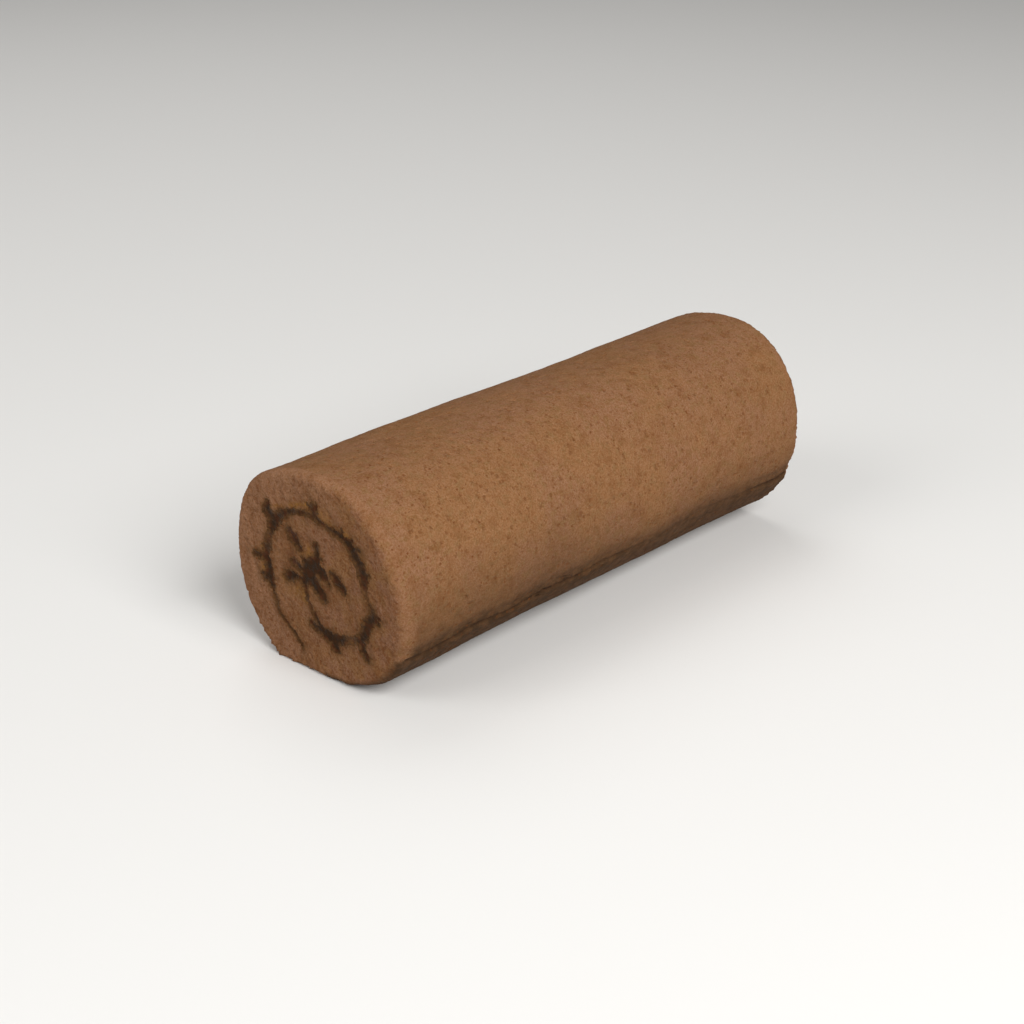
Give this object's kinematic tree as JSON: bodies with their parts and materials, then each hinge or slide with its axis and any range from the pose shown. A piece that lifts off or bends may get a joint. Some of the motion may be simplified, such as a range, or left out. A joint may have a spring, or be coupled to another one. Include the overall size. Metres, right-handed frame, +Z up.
{
  "type": "chocolate mini roll",
  "caption": "Short roll of brown sponge cake, cut off square at both ends, with a dark cocoa cream spiral on each cut face and a seam low on one side.",
  "frame": {"origin": "on the surface the roll lies on, under the middle of its box", "axes": "+X along the roll, away from the cut face that leans; +Z up; the seam of the rolled sheet is low on the -Y side"},
  "size_m": [0.1624, 0.0637, 0.0606],
  "materials": {
    "sponge": "baked sponge crumb, matte and finely porous, tan brown",
    "cream": "soft cocoa cream, dark brown, satin where moist"
  },
  "bodies": {
    "root": {"sponge": "sponge", "cream": "cream", "cream_streak_low": "cream", "cream_streak_high": "cream"}
  },
  "joints": []
}
